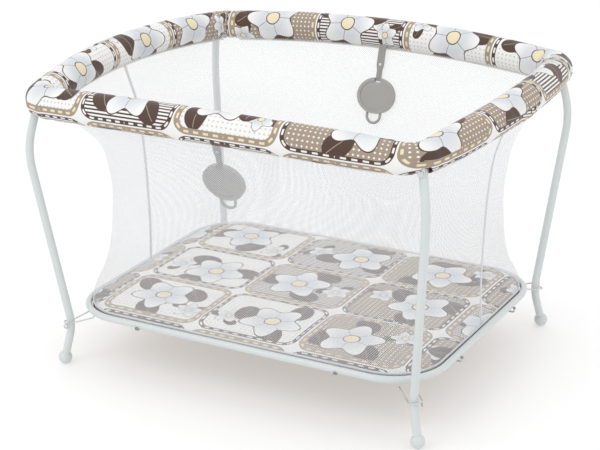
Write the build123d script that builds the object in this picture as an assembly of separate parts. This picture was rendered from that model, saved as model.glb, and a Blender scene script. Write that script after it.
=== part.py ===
"""Folding playpen: a padded top rim on four folding tube legs, net walls and a floor on wires.

Millimetres. +Z up, X along the long sides, origin on the ground at the centre of the four feet.
The floor frame slides up under the rim and the legs swing in under it when the pen is folded.
"""
from build123d import *
import os
from math import atan2, cos, hypot, radians, sin, sqrt

os.makedirs("parts", exist_ok=True)

# ---- top rim: a bowed loop, higher in the middle of each side --------------------------------
rim_half_x = 494.0  # centre line of the roll at the middle of a short side
rim_half_y = 415.0  # the same at the middle of a long side
rim_long_r = 2420.0  # bow of the long sides
rim_short_r = 1457.0  # bow of the short sides
rim_corner_r = 49.0
rim_z = 626.7  # centre line at the corners
rim_crown_long = 16.0
rim_crown_short = 14.5
rim_tube_r = 10.0
rim_tube_wall = 1.2
rim_foam_r = 34.0
rim_cover_r = 35.8
rim_gap = 0.2  # between the foam and its cover

# ---- legs ------------------------------------------------------------------------------------
leg_tube_r = 9.0
leg_tube_wall = 1.2
leg_foot = (440.0, 344.0, 15.0)  # centre of the foot ball
leg_low_bend = (424.5, 332.0, 92.7)
leg_high_bend = (472.0, 387.0, 517.0)
leg_pivot = (455.0, 369.5, 603.0)
leg_low_bend_r = 120.0
leg_high_bend_r = 200.0
leg_above_pivot = 6.5
foot_ball_r = 15.5
fold_yaw = 7.0  # degrees by which a leg swings outwards as it folds

# ---- leg brackets and pivot pins, inside the rim roll ------------------------------------------
pin_r = 3.0
pin_hole_r = 3.05
pin_head_r = 5.5
pin_head = 1.6
bracket_plate = 1.8
bracket_gap = 2.4  # between the leaning leg tube and each cheek
bracket_half = 7.5  # half length of a cheek
bracket_drop = 5.5  # cheek below the pivot
weld_gap = 0.4  # between the rim tube and the bracket
arm_width = 16.0
pocket_in = 64.0  # pocket in the roll, towards the middle of the side
pocket_out = 17.0
pocket_half_width = 18.0

# ---- floor frame, board, mat and support wires --------------------------------------------------
frame_half_x = 438.0
frame_half_y = 326.5
frame_corner_r = 120.0
frame_tube_r = 7.5
frame_tube_wall = 1.2
frame_z = 125.4
board_thick = 5.0
board_gap = 1.5  # inside the floor frame
mat_thick = 20.0
mat_inset = 16.0  # mat edge in from the frame's centre line
mat_corner_r = 110.0
mat_edge_r = 6.0
support_wire_r = 2.0
cross_wire_x = 246.0  # the two wires that run across
long_wire_y = 146.0  # the two wires that run lengthwise, under the cross wires
wire_hook_rise = 7.0
wire_bend_r = 4.0
wire_cap_r = 3.0
wire_cap_len = 4.0
wire_cap_top = 1.0  # cap beyond the end of the wire
wire_cap_fit = 0.05
wire_to_tube = 1.4

# ---- corner latches ---------------------------------------------------------------------------
latch_wire_r = 1.6
latch_hole_r = 1.68
latch_spread = 9.5  # degrees round the frame corner from the leg to each hole
latch_top = 2.0  # wire end above the tube's centre line
latch_elbow_z = 110.0
latch_side = 14.0  # wire beside the leg axis
latch_bar_z = 98.0
latch_bar_out = 12.4  # cross bar in front of the leg axis
latch_bar_end = 21.0
latch_hook_r = 6.0
latch_bend_r = 4.0
latch_height = 100.0  # height at which the leg is clasped

# ---- net walls --------------------------------------------------------------------------------
net_thick = 1.6
net_to_roll = 0.1
# each row: height, half length, half width, bow radii of the long and short sides, corner radius
net_sections = (
    (130.0, 426.5, 315.5, 30000.0, 30000.0, 98.0),
    (145.0, 426.5, 315.5, 30000.0, 30000.0, 102.0),
    (215.0, 427.0, 316.5, 20000.0, 20000.0, 190.0),
    (330.0, 430.0, 322.5, 9000.0, 6000.0, 256.0),
    (440.0, 437.0, 340.0, 5000.0, 3400.0, 288.0),
    (535.0, 452.0, 367.0, 3400.0, 2200.0, 262.0),
    (588.0, 471.0, 387.0, 2600.0, 1700.0, 150.0),
    (616.0, 480.0, 399.0, 2408.0, 1445.0, 95.0),
)

# ---- pull-up grips, one in the middle of each long side ------------------------------------------
strap_root_y = 386.0
strap_root_z = 619.0
strap_lean = 17.5  # degrees, lying on the net
strap_half_width = 9.5
strap_thick = 1.6
strap_len = 84.0
eye_half_width = 7.0
grip_half_x = 48.5
grip_half_z = 43.0
grip_thick = 7.0
grip_rim_width = 8.0
grip_rim_proud = 1.5
ring_half_width = 17.0
ring_drop = 25.0
ring_wire_r = 3.2
rivet_r = 3.0


def save(shape, name):
    """Write one node's solids to its own STEP file."""
    solids = shape.solids()
    out = solids[0] if len(solids) == 1 else Compound(children=list(solids))
    out.label = name
    export_step(out, f"parts/{name}.step")


# ---- bowed loops -------------------------------------------------------------------------------
def quarter_points(half_x, half_y, long_r, short_r, corner_r):
    """Long-side tangent point, middle of the corner arc and short-side tangent point, X and Y > 0."""
    reach_long = long_r - corner_r
    reach_short = short_r - corner_r
    centre_long = (0.0, half_y - long_r)
    centre_short = (half_x - short_r, 0.0)
    dx = centre_short[0] - centre_long[0]
    dy = centre_short[1] - centre_long[1]
    apart = hypot(dx, dy)
    along = (reach_long**2 - reach_short**2 + apart**2) / (2 * apart)
    across = sqrt(reach_long**2 - along**2)
    # of the two points where the circles cross, the one in the positive quarter
    options = [
        (
            centre_long[0] + (along * dx - side * across * dy) / apart,
            centre_long[1] + (along * dy + side * across * dx) / apart,
        )
        for side in (1, -1)
    ]
    cx, cy = max(options, key=sum)
    toward_long = atan2(cy - centre_long[1], cx - centre_long[0])
    toward_short = atan2(cy - centre_short[1], cx - centre_short[0])
    middle = (toward_long + toward_short) / 2
    return [
        (cx + corner_r * cos(a), cy + corner_r * sin(a))
        for a in (toward_long, middle, toward_short)
    ]


def bowed_loop(half_x, half_y, long_r, short_r, corner_r, z, crown_long=0.0, crown_short=0.0):
    """A closed loop with bowed sides: arcs, and corners that meet them smoothly."""
    (lx, ly), (mx, my), (sx, sy) = quarter_points(half_x, half_y, long_r, short_r, corner_r)
    sides = [
        ThreePointArc((-lx, ly, z), (0, half_y, z + crown_long), (lx, ly, z)),
        ThreePointArc((sx, sy, z), (half_x, 0, z + crown_short), (sx, -sy, z)),
        ThreePointArc((lx, -ly, z), (0, -half_y, z + crown_long), (-lx, -ly, z)),
        ThreePointArc((-sx, -sy, z), (-half_x, 0, z + crown_short), (-sx, sy, z)),
    ]
    middles = [(mx, my, z), (mx, -my, z), (-mx, -my, z), (-mx, my, z)]
    edges = []
    for n, side in enumerate(sides):
        after = sides[(n + 1) % 4]
        start, end = side @ 1, after @ 0
        if crown_long or crown_short:
            corner = Spline(start, middles[n], end, tangents=(side % 1, after % 0))
        else:
            corner = ThreePointArc(start, middles[n], end)
        edges += [side, corner]
    return Wire([e.edge() for e in edges])


def rod(path, radius):
    """A round bar of the given radius along a path."""
    start = Plane(origin=path @ 0, z_dir=path % 0)
    return sweep(start * Circle(radius), path=path)


def cylinder_along(centre, direction, radius, length):
    """A cylinder centred on a point, along a direction."""
    return Plane(origin=centre, z_dir=direction) * Cylinder(radius, length)


# ---- corners -----------------------------------------------------------------------------------
CORNERS = {
    "front_left": (-1, -1),
    "front_right": (1, -1),
    "back_left": (-1, 1),
    "back_right": (1, 1),
}


def at_corner(point, corner):
    """A point given for the corner in +X and +Y, moved to the named corner."""
    sx, sy = CORNERS[corner]
    return Vector(point[0] * sx, point[1] * sy, point[2])


def swing_direction(corner):
    """The level direction in which the foot of this leg starts to move when it folds."""
    sx, sy = CORNERS[corner]
    return Vector(-sx * cos(radians(fold_yaw)), sy * sin(radians(fold_yaw)), 0)


def hinge_axis(corner):
    swing = swing_direction(corner)
    return Vector(swing.Y, -swing.X, 0)


def leg_path(corner):
    """Centre line from the middle of the foot ball to just above the pivot."""
    high = Vector(*leg_high_bend)
    pivot = Vector(*leg_pivot)
    top = pivot + (pivot - high).normalized() * leg_above_pivot
    points = [leg_foot, leg_low_bend, leg_high_bend, tuple(top)]
    moved = [at_corner(p, corner) for p in points]
    return FilletPolyline(*moved, radius=[leg_low_bend_r, leg_high_bend_r])


def point_at_height(path, z):
    """The point of a rising path at a height."""
    low, high = 0.0, 1.0
    for _ in range(40):
        middle = (low + high) / 2
        if (path @ middle).Z < z:
            low = middle
        else:
            high = middle
    return path @ low


def build_leg(corner):
    path = leg_path(corner)
    tube = rod(path, leg_tube_r) - rod(path, leg_tube_r - leg_tube_wall)
    hole = cylinder_along(at_corner(leg_pivot, corner), hinge_axis(corner), pin_hole_r, 40)
    return tube - hole


def build_foot(corner):
    """A ball with a small flat to stand on and a bore for the end of the leg."""
    centre = at_corner(leg_foot, corner)
    ball = Pos(centre) * Sphere(foot_ball_r)
    below = Pos(centre.X, centre.Y, -10) * Box(60, 60, 20)
    return ball - below - rod(leg_path(corner), leg_tube_r)


# ---- rim --------------------------------------------------------------------------------------
rim_path = bowed_loop(
    rim_half_x, rim_half_y, rim_long_r, rim_short_r, rim_corner_r, rim_z,
    rim_crown_long, rim_crown_short,
)
rim_corner = quarter_points(rim_half_x, rim_half_y, rim_long_r, rim_short_r, rim_corner_r)[1]


def pivot_plane(corner):
    """X along the swing, Y along the hinge pin, Z up, at the pivot."""
    return Plane(origin=at_corner(leg_pivot, corner), x_dir=swing_direction(corner), z_dir=(0, 0, 1))


def arm_plane(corner):
    """X from the leg pivot to the rim tube, at the underside of that tube."""
    to_tube = Vector(rim_corner[0] - leg_pivot[0], rim_corner[1] - leg_pivot[1], 0)
    sx, sy = CORNERS[corner]
    origin = at_corner((leg_pivot[0], leg_pivot[1], rim_z - rim_tube_r - weld_gap), corner)
    return Plane(origin=origin, x_dir=(to_tube.X * sx, to_tube.Y * sy, 0), z_dir=(0, 0, 1))


def build_bracket(corner):
    """Two cheeks and a top plate, with an arm that is welded under the rim tube."""
    inner = leg_tube_r + bracket_gap
    outer = inner + bracket_plate
    top = rim_z - rim_tube_r - weld_gap - leg_pivot[2]
    height = top + bracket_drop
    middle = (top - bracket_drop) / 2
    block = Pos(0, 0, middle) * Box(2 * bracket_half, 2 * outer, height)
    room = Pos(0, 0, middle - bracket_plate) * Box(3 * bracket_half, 2 * inner, height)
    hole = Rot(90, 0, 0) * Cylinder(pin_r, 4 * outer)
    cheeks = pivot_plane(corner) * (block - room - hole)
    reach = hypot(rim_corner[0] - leg_pivot[0], rim_corner[1] - leg_pivot[1])
    arm = Pos(reach / 2, 0, -bracket_plate / 2) * Box(reach + arm_width / 2, arm_width, bracket_plate)
    return cheeks + arm_plane(corner) * arm


def build_pin(corner):
    """A rivet through both cheeks and the leg."""
    outer = leg_tube_r + bracket_gap + bracket_plate
    shank = Rot(90, 0, 0) * Cylinder(pin_r, 2 * outer)
    heads = [
        Pos(0, side * (outer + pin_head / 2), 0) * Rot(90, 0, 0) * Cylinder(pin_head_r, pin_head)
        for side in (1, -1)
    ]
    return pivot_plane(corner) * (shank + heads[0] + heads[1])


def roll_pocket(corner):
    """The opening in the underside of the roll that the bracket and the folding leg need."""
    top = rim_z - rim_tube_r - leg_pivot[2] + 0.3
    drop = 60.0
    length = pocket_in + pocket_out
    box = Box(length, 2 * pocket_half_width, top + drop)
    shaft = Pos((pocket_in - pocket_out) / 2, 0, (top - drop) / 2) * box
    reach = hypot(rim_corner[0] - leg_pivot[0], rim_corner[1] - leg_pivot[1])
    arm = Pos(reach / 2, 0, -6) * Box(reach + arm_width, arm_width + 2, 13.4)
    return pivot_plane(corner) * shaft + arm_plane(corner) * arm


pockets = [roll_pocket(corner) for corner in CORNERS]
rim_solid = rod(rim_path, rim_tube_r)
save(rim_solid - rod(rim_path, rim_tube_r - rim_tube_wall), "top_frame_tube")
save(rod(rim_path, rim_foam_r) - pockets - rim_solid, "rim_foam")
save(rod(rim_path, rim_cover_r) - pockets - rod(rim_path, rim_foam_r + rim_gap), "rim_cover")
save(Compound(children=[build_pin(corner) for corner in CORNERS]), "leg_pivot_pins")
for corner in CORNERS:
    save(build_bracket(corner), f"leg_bracket_{corner}")
    save(build_leg(corner), f"leg_{corner}")
    save(build_foot(corner), f"foot_{corner}")


# ---- net walls: two lengths of net, joined in the middle of the short sides ------------------------
def net_body(inset):
    loops = [
        Face(bowed_loop(half_x - inset, half_y - inset, long_r, short_r, corner_r - inset, z))
        for z, half_x, half_y, long_r, short_r, corner_r in net_sections
    ]
    return loft(loops)


net = net_body(0) - net_body(net_thick) - rod(rim_path, rim_cover_r + net_to_roll)
for name, side in (("net_wall_front", -1), ("net_wall_back", 1)):
    save(net & Pos(0, side * 500, 400) * Box(1200, 1000, 800), name)


# ---- floor ------------------------------------------------------------------------------------
frame_face = RectangleRounded(2 * frame_half_x, 2 * frame_half_y, frame_corner_r)
frame_path = (Pos(0, 0, frame_z) * frame_face).face().outer_wire()
corner_centre = (frame_half_x - frame_corner_r, frame_half_y - frame_corner_r)


def clasp(corner):
    """The leg's centre at the latch, and level unit vectors outwards and sideways from there."""
    at = point_at_height(leg_path(corner), latch_height)
    sx, sy = CORNERS[corner]
    out = Vector(at.X - sx * corner_centre[0], at.Y - sy * corner_centre[1], 0).normalized()
    return at, out, Vector(-out.Y, out.X, 0)


def latch_hole(corner, side):
    """The hole in the underside of the floor frame that a latch wire turns in."""
    sx, sy = CORNERS[corner]
    _, out, sideways = clasp(corner)
    spread = radians(latch_spread)
    radial = out * cos(spread) + sideways * (side * sin(spread))
    centre = Vector(sx * corner_centre[0], sy * corner_centre[1], frame_z)
    return centre + radial * frame_corner_r


holes = [
    Pos(latch_hole(corner, side) - Vector(0, 0, frame_tube_r)) * Cylinder(latch_hole_r, 10)
    for corner in CORNERS
    for side in (1, -1)
]
save(rod(frame_path, frame_tube_r) - rod(frame_path, frame_tube_r - frame_tube_wall) - holes,
     "floor_frame")

board_half_x = frame_half_x - frame_tube_r - board_gap
board_half_y = frame_half_y - frame_tube_r - board_gap
board_r = frame_corner_r - frame_tube_r - board_gap
board_z = frame_z - frame_tube_r
board = extrude(RectangleRounded(2 * board_half_x, 2 * board_half_y, board_r), board_thick)
save(Pos(0, 0, board_z) * board, "floor_board")

mat_half_x = frame_half_x - mat_inset
mat_half_y = frame_half_y - mat_inset
mat = extrude(RectangleRounded(2 * mat_half_x, 2 * mat_half_y, mat_corner_r), mat_thick)
mat = fillet(mat.edges().group_by(Axis.Z)[-1], mat_edge_r)
save(Pos(0, 0, board_z + board_thick) * mat, "floor_mat")


def support_wire(half_span, depth):
    """A wire under the frame along X, with both ends turned up round the outside of the tube."""
    lift = depth + wire_hook_rise
    end = half_span + frame_tube_r + support_wire_r + wire_to_tube
    points = [(-end, 0, lift), (-end, 0, 0), (end, 0, 0), (end, 0, lift)]
    wire = rod(FilletPolyline(*points, radius=wire_bend_r), support_wire_r)
    bore = Cylinder(support_wire_r + wire_cap_fit, wire_cap_len)
    cap = Cylinder(wire_cap_r, wire_cap_len) - Pos(0, 0, -wire_cap_top) * bore
    caps = [
        Pos(side * end, 0, lift + wire_cap_top - wire_cap_len / 2) * cap for side in (-1, 1)
    ]
    return wire, caps


cross_z = frame_z - frame_tube_r - support_wire_r
long_z = cross_z - 2 * support_wire_r
caps = []
for name, shift in (("cross_wire_left", -cross_wire_x), ("cross_wire_right", cross_wire_x)):
    place = Pos(shift, 0, cross_z) * Rot(0, 0, 90)
    wire, ends = support_wire(frame_half_y, 0)
    save(place * wire, name)
    caps += [place * end for end in ends]
for name, shift in (("long_wire_front", -long_wire_y), ("long_wire_back", long_wire_y)):
    place = Pos(0, shift, long_z)
    wire, ends = support_wire(frame_half_x, 2 * support_wire_r)
    save(place * wire, name)
    caps += [place * end for end in ends]
save(Compound(children=caps), "wire_end_caps")


# ---- corner latches -----------------------------------------------------------------------------
def latch_point(corner, forward, side, z):
    at, out, sideways = clasp(corner)
    level = at + out * forward + sideways * side
    return Vector(level.X, level.Y, z)


def latch_wire(corner, side, points, radii):
    """A wire from its hole in the floor frame through the given points."""
    hole = latch_hole(corner, side)
    start = [Vector(hole.X, hole.Y, z) for z in (frame_z + latch_top, latch_elbow_z)]
    return rod(FilletPolyline(*start, *points, radius=[latch_bend_r, *radii]), latch_wire_r)


for corner in CORNERS:
    hook = [
        latch_point(corner, forward, latch_side, latch_bar_z + rise)
        for forward, rise in (
            (-14, latch_hook_r),
            (latch_bar_out + latch_hook_r, latch_hook_r),
            (latch_bar_out + latch_hook_r, -latch_hook_r),
            (latch_bar_out - latch_hook_r, -latch_hook_r),
        )
    ]
    bar = [
        latch_point(corner, -14, -latch_side, latch_bar_z + 2),
        latch_point(corner, latch_bar_out, -latch_side, latch_bar_z),
        latch_point(corner, latch_bar_out, latch_bar_end, latch_bar_z),
    ]
    hook_bend = latch_hook_r - 0.1
    save(latch_wire(corner, 1, hook, [latch_bend_r, hook_bend, hook_bend]), f"latch_hook_{corner}")
    save(latch_wire(corner, -1, bar, [latch_bend_r, latch_bend_r]), f"latch_bar_{corner}")


# ---- pull-up grips, drawn hanging down from the root along -Z, facing Y ----------------------------
def grip_place(side):
    """The root of the strap on a long side, leaning with the net."""
    return Pos(0, side * strap_root_y, strap_root_z) * Rot(-side * strap_lean, 0, 0)


def build_strap():
    """Webbing: full width at the roll, narrower where it passes through the grip."""
    wide = Pos(0, 0, -strap_len * 0.3) * Box(2 * strap_half_width, strap_thick, strap_len * 0.6)
    narrow = Pos(0, 0, -strap_len * 0.8) * Box(2 * eye_half_width, strap_thick, strap_len * 0.4)
    return wide + narrow


def flat_ellipse(half_x, half_z, thick):
    face = Plane.XZ * Ellipse(half_x, half_z)
    return extrude(face, thick / 2, both=True)


def build_grip():
    """A moulded oval with a raised border, an eye for the strap and a ring to hold."""
    centre = Pos(0, 0, -strap_len - grip_half_z + 8)
    whole = flat_ellipse(grip_half_x, grip_half_z, grip_thick + 2 * grip_rim_proud)
    field = flat_ellipse(grip_half_x - grip_rim_width, grip_half_z - grip_rim_width, grip_rim_proud)
    lift = grip_thick / 2 + grip_rim_proud / 2
    oval = whole - Pos(0, lift, 0) * field - Pos(0, -lift, 0) * field
    low = -grip_half_z
    ring_path = FilletPolyline(
        (-ring_half_width, 0, low + 6),
        (-ring_half_width, 0, low - ring_drop + ring_wire_r),
        (ring_half_width, 0, low - ring_drop + ring_wire_r),
        (ring_half_width, 0, low + 6),
        radius=ring_half_width - 1.0,
    )
    body = oval + rod(ring_path, ring_wire_r)
    slot = Pos(0, 0, grip_half_z - 5) * Box(2 * eye_half_width + 1, 2 * grip_thick, 12)
    return centre * (body - slot)


def build_strap_rivet():
    """Closes the webbing loop just above the grip."""
    return Pos(0, 0, -strap_len * 0.52) * Rot(90, 0, 0) * Cylinder(rivet_r, strap_thick + 2)


for name, side in (("front", -1), ("back", 1)):
    rivet = build_strap_rivet()
    save(grip_place(side) * (build_strap() - rivet), f"pull_strap_{name}")
    save(grip_place(side) * build_grip(), f"pull_grip_{name}")
    save(grip_place(side) * rivet, f"strap_rivet_{name}")
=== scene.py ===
"""Folding playpen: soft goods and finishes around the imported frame."""

import math

import bmesh
import bpy
import numpy as np
from bpy.props import FloatProperty, FloatVectorProperty, IntProperty, PointerProperty
from mathutils import Matrix, Vector


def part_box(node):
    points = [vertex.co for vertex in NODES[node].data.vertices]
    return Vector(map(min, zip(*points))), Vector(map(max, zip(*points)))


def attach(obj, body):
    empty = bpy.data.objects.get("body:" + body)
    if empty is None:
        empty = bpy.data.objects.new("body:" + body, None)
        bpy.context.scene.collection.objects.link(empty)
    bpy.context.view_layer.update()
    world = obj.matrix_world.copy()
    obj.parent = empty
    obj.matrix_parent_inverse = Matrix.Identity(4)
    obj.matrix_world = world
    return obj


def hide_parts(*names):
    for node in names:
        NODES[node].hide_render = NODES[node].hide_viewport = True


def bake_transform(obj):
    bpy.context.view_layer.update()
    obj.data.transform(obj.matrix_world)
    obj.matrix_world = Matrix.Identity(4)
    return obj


bl_info = {
    "name": "Folding Playpen",
    "version": (1, 0, 0),
    "blender": (4, 5, 0),
    "location": "View3D > Sidebar > Playpen",
    "description": "Padded roll, mat, net walls, straps and finishes for a folding playpen",
    "category": "Add Mesh",
}

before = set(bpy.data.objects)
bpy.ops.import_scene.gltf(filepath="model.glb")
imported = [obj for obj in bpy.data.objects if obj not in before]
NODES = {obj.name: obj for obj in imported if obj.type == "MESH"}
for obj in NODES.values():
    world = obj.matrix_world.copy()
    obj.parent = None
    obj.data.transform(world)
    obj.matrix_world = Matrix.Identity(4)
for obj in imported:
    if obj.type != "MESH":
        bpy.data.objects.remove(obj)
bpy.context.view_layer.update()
CORNERS = ("front_left", "front_right", "back_left", "back_right")
SIDES = {"front": -1, "back": 1}

# Sizes in metres. The roll, slots, straps and net rows follow the frame.
ROLL_HALF = (0.494, 0.415)
ROLL_BOW = (2.420, 1.457)
ROLL_CORNER = 0.049
ROLL_Z = 0.6267
ROLL_CROWN = (0.016, 0.0145)
ROLL_R = 0.0358
ROLL_TURNS = (0.462, 0.383)  # where the roll rounds its corners
LEG_PIVOT = (0.455, 0.3695)
FOLD_YAW = math.radians(7.0)
SLOT_IN, SLOT_OUT, SLOT_WIDTH = 0.072, 0.018, 0.036  # reach inwards and outwards from the pivot
SLOT_TOP, SLOT_DEPTH = 0.6165, 0.08
STRAP_ROOT = (0.386, 0.619)
STRAP_LEAN = math.radians(17.5)
STRAP_START, STRAP_END = -0.010, 0.0835  # along the strap from its root
STRAP_HALF, STRAP_TAPER = 0.0095, 0.0025  # half width, and what it loses towards the grip
TAPER_START, TAPER_RUN = 0.046, 0.012
MAT_SPREAD, MAT_CORNER = 0.0058, 0.1158  # the soft mat fills the frame up to the net
MAT_FALL, MAT_EDGE = 0.0045, 0.012  # drop of the mat's top at its edge, and its reach inwards
NET_ROWS = (  # height, half length, half width, bows of the long and short sides, corner radius
    (0.130, 0.4290, 0.3178, 30.0, 30.0, 0.113),
    (0.145, 0.4290, 0.3178, 30.0, 30.0, 0.113),
    (0.215, 0.4270, 0.3165, 20.0, 20.0, 0.190),
    (0.330, 0.4300, 0.3225, 9.0, 6.0, 0.256),
    (0.440, 0.4370, 0.3400, 5.0, 3.4, 0.288),
    (0.535, 0.4520, 0.3670, 3.4, 2.2, 0.262),
    (0.588, 0.4710, 0.3870, 2.6, 1.7, 0.150),
    (0.616, 0.4800, 0.3990, 2.408, 1.445, 0.095),
)
NET_ACROSS, NET_UP = 240, 44  # points of a net wall along its hem and up its height
HEM_HALF = 0.0011  # half the thickness of the hem
SEAM_HALF, SEAM_WIDTH = 0.0009, 0.0035  # half thickness and half width of the side seams


# ---- sizes and colours that a user would change ------------------------------------------------
def length(name, description, default):
    return FloatProperty(name=name, description=description, default=default, min=0.0, unit="LENGTH")


def colour(name, description, default):
    return FloatVectorProperty(
        name=name, description=description, default=default, size=4, min=0, max=1, subtype="COLOR"
    )


class PrintSettings(bpy.types.PropertyGroup):
    patch_length: length("Patch length", "Length of one printed patch", 0.25)
    patch_height: length("Patch height", "Height of one printed patch", 0.20)
    white: colour("Ground", "White ground of the print", (0.86, 0.855, 0.84, 1))
    dark: colour("Brown", "Dark brown of bands, stripes and leaves", (0.075, 0.038, 0.026, 1))
    taupe: colour("Taupe", "Taupe of bands and plain patches", (0.36, 0.285, 0.215, 1))
    cream: colour("Cream", "Cream of flower centres and dashes", (0.82, 0.72, 0.50, 1))
    shade: colour("Petal shade", "Cool grey inside the petals", (0.66, 0.69, 0.73, 1))


class RollSettings(bpy.types.PropertyGroup):
    around: IntProperty(name="Faces round", description="Faces round the roll", default=36, min=12)
    along: IntProperty(name="Faces along", description="Faces along the roll", default=640, min=100)
    pucker: length("Pucker depth", "Depth of the folds at the corners", 0.0046)
    swell: length("Swell", "Furthest that the foam pushes the cover", 0.003)


class MatSettings(bpy.types.PropertyGroup):
    voxel: length("Voxel", "Voxel size of the mat's remesh", 0.008)
    swell: length("Swell", "Furthest that the padding pushes the cover", 0.006)


class NetSettings(bpy.types.PropertyGroup):
    pitch: length("Mesh pitch", "Distance between holes of the net", 0.0050)
    thread: length("Thread", "Width of the threads", 0.00125)
    tint: colour("Net colour", "Colour of the knitted net", (0.745, 0.755, 0.78, 1))
    tape: length("Hem width", "Width of the tape along the lower edge", 0.0055)


class FinishSettings(bpy.types.PropertyGroup):
    paint: colour("Paint", "Powder coat of legs and frames", (0.60, 0.635, 0.635, 1))
    plastic: colour("Grip", "Moulded plastic of the grips", (0.345, 0.335, 0.32, 1))
    webbing: colour("Webbing", "Webbing of the straps", (0.36, 0.35, 0.335, 1))


# ---- shader helpers ---------------------------------------------------------------------------
class Field:
    """A number that varies over a surface, with arithmetic that adds Math nodes."""

    def __init__(self, tree, socket):
        self.tree = tree
        self.socket = socket

    def math(self, operation, *others):
        node = self.tree.nodes.new("ShaderNodeMath")
        node.operation = operation
        for slot, value in zip(node.inputs, (self, *others)):
            if isinstance(value, Field):
                self.tree.links.new(value.socket, slot)
            else:
                slot.default_value = value
        return Field(self.tree, node.outputs[0])

    def __add__(self, other):
        return self.math("ADD", other)

    def __sub__(self, other):
        return self.math("SUBTRACT", other)

    def __mul__(self, other):
        return self.math("MULTIPLY", other)

    def __truediv__(self, other):
        return self.math("DIVIDE", other)

    def __abs__(self):
        return self.math("ABSOLUTE")

    def least(self, other):
        return self.math("MINIMUM", other)

    def most(self, other):
        return self.math("MAXIMUM", other)

    def whole(self):
        return self.math("FLOOR")

    def part(self):
        return self.math("FRACT")

    def root(self):
        return self.math("SQRT")

    def below(self, edge, soft=0.0004):
        """1 where the field is under the edge, 0 above, with a soft step."""
        step = (self * -1 + edge) / soft + 0.5
        return step.math("MAXIMUM", 0.0).math("MINIMUM", 1.0)


def new_group(name, inputs, outputs):
    """A shader group with named sockets: the tree, its inputs as fields, and its output node."""
    tree = bpy.data.node_groups.new(name, "ShaderNodeTree")
    for label, kind, default in inputs:
        socket = tree.interface.new_socket(label, in_out="INPUT", socket_type="NodeSocket" + kind)
        if default is not None:
            socket.default_value = default
    for label, kind in outputs:
        tree.interface.new_socket(label, in_out="OUTPUT", socket_type="NodeSocket" + kind)
    start = tree.nodes.new("NodeGroupInput")
    end = tree.nodes.new("NodeGroupOutput")
    return tree, {s.name: Field(tree, s) for s in start.outputs if s.name}, end


def split(tree, socket):
    """The X, Y and Z of a vector as fields."""
    node = tree.nodes.new("ShaderNodeSeparateXYZ")
    tree.links.new(socket, node.inputs[0])
    return [Field(tree, out) for out in node.outputs]


def join(tree, *parts):
    """A vector socket from fields and numbers."""
    node = tree.nodes.new("ShaderNodeCombineXYZ")
    for slot, value in zip(node.inputs, parts):
        if isinstance(value, Field):
            tree.links.new(value.socket, slot)
        else:
            slot.default_value = value
    return node.outputs[0]


def mixed(tree, mask, first, second):
    """A colour socket: first where the mask is 0, second where it is 1."""
    node = tree.nodes.new("ShaderNodeMix")
    node.data_type = "RGBA"
    tree.links.new(mask.socket, node.inputs["Factor"])
    for slot, value in ((node.inputs[6], first), (node.inputs[7], second)):
        if isinstance(value, bpy.types.NodeSocket):
            tree.links.new(value, slot)
        else:
            slot.default_value = value
    return node.outputs[2]


def noise(tree, vector, scale):
    """Soft noise over a surface, as a field."""
    node = tree.nodes.new("ShaderNodeTexNoise")
    node.inputs["Scale"].default_value = scale
    tree.links.new(vector, node.inputs["Vector"])
    return Field(tree, node.outputs["Fac"])


# ---- shader groups ------------------------------------------------------------------------------
def ellipse(x, y, half_x, half_y):
    """Rough distance outside an ellipse."""
    stretched = ((x / half_x) * (x / half_x) + (y / half_y) * (y / half_y)).root()
    return (stretched + -1.0) * min(half_x, half_y)


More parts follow.
